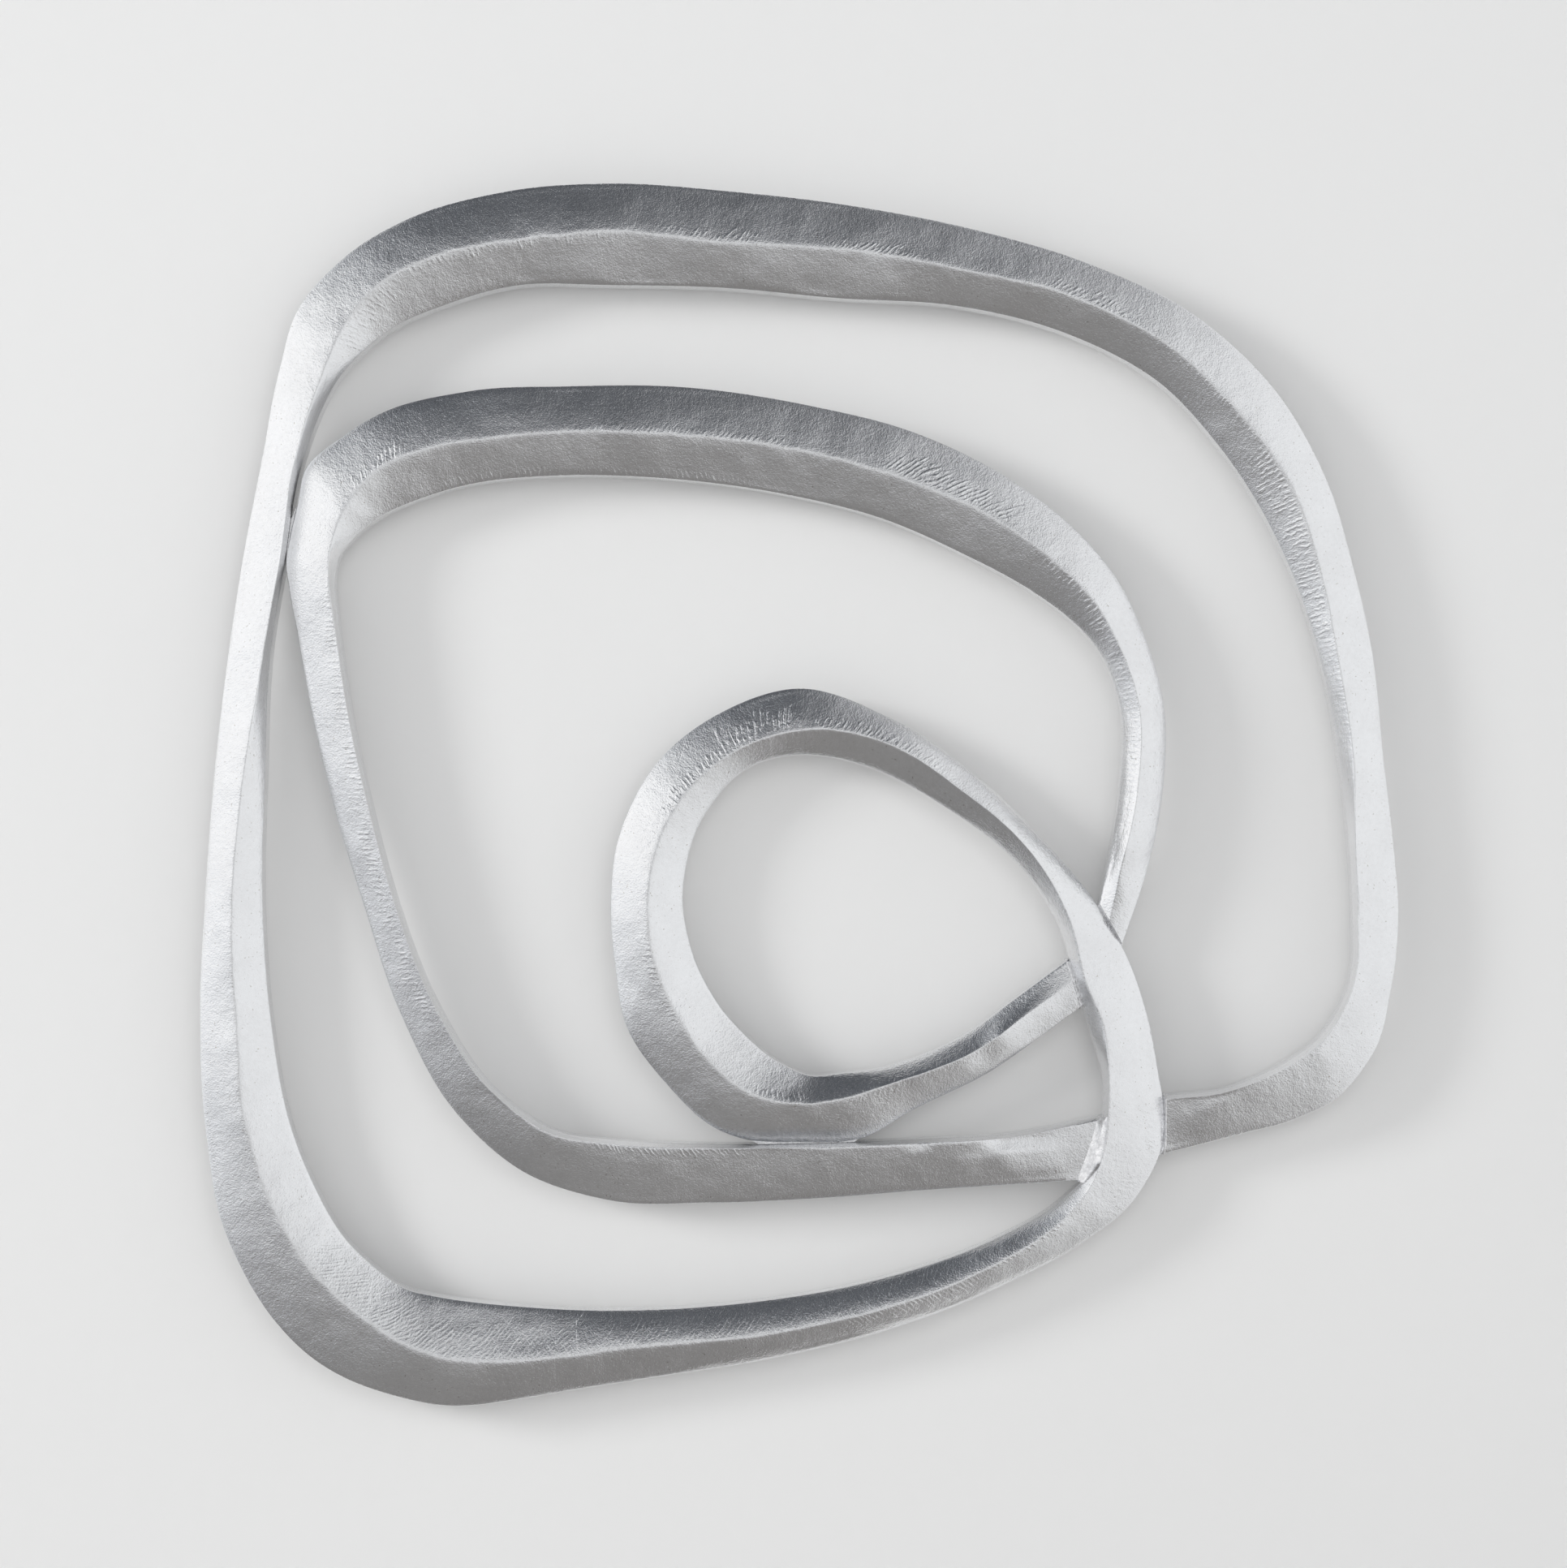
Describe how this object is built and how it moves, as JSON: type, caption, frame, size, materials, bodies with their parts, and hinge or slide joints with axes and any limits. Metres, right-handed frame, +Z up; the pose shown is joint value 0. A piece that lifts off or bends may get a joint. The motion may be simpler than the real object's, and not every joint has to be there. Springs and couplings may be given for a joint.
{
  "type": "abstract wall sculpture",
  "caption": "Abstract wall sculpture of looped, ridged hollow metal bands with a hand-worked silver-leaf look, hung on keyholes.",
  "frame": {"origin": "midway between the two keyholes' round entries, on the wall plane", "axes": "+Z up, the sculpture's front faces -Y, the wall is the plane Y = 0 and +X is to the right as seen from the front"},
  "size_m": [0.916, 0.05, 0.9342],
  "materials": {
    "silver_leaf": "hand-applied silver leaf over worked steel sheet, satin to bright",
    "weld_leaf": "leafed weld, uneven",
    "plain_steel": "plain mill finish",
    "rubber": "matt"
  },
  "bodies": {
    "root": {"outer_right_crown": "silver_leaf", "outer_right_outer_side": "silver_leaf", "outer_right_inner_side": "silver_leaf", "outer_right_back": "plain_steel", "outer_top_crown": "silver_leaf", "outer_top_outer_side": "silver_leaf", "outer_top_inner_side": "silver_leaf", "outer_top_back": "plain_steel", "outer_left_crown": "silver_leaf", "outer_left_outer_side": "silver_leaf", "outer_left_inner_side": "silver_leaf", "outer_left_back": "plain_steel", "outer_bottom_crown": "silver_leaf", "outer_bottom_outer_side": "silver_leaf", "outer_bottom_inner_side": "silver_leaf", "outer_bottom_back": "plain_steel", "riser_crown": "silver_leaf", "riser_outer_side": "silver_leaf", "riser_inner_side": "silver_leaf", "riser_back": "plain_steel", "centre_top_crown": "silver_leaf", "centre_top_outer_side": "silver_leaf", "centre_top_inner_side": "silver_leaf", "centre_top_back": "plain_steel", "centre_left_crown": "silver_leaf", "centre_left_outer_side": "silver_leaf", "centre_left_inner_side": "silver_leaf", "centre_left_back": "plain_steel", "centre_bottom_crown": "silver_leaf", "centre_bottom_outer_side": "silver_leaf", "centre_bottom_inner_side": "silver_leaf", "centre_bottom_back": "plain_steel", "middle_right_crown": "silver_leaf", "middle_right_outer_side": "silver_leaf", "middle_right_inner_side": "silver_leaf", "middle_right_back": "plain_steel", "middle_top_crown": "silver_leaf", "middle_top_outer_side": "silver_leaf", "middle_top_inner_side": "silver_leaf", "middle_top_back": "plain_steel", "middle_left_crown": "silver_leaf", "middle_left_outer_side": "silver_leaf", "middle_left_inner_side": "silver_leaf", "middle_left_back": "plain_steel", "middle_bottom_crown": "silver_leaf", "middle_bottom_outer_side": "silver_leaf", "middle_bottom_inner_side": "silver_leaf", "middle_bottom_back": "plain_steel", "weld_outer_end": "weld_leaf", "weld_centre_end": "weld_leaf", "weld_middle_start": "weld_leaf", "weld_middle_end": "weld_leaf", "weld_left_contact": "weld_leaf", "weld_lower_contact": "weld_leaf", "hanger_left": "plain_steel", "hanger_right": "plain_steel", "post_left": "plain_steel", "post_right": "plain_steel", "bumper_left": "rubber", "bumper_right": "rubber"}
  },
  "joints": []
}
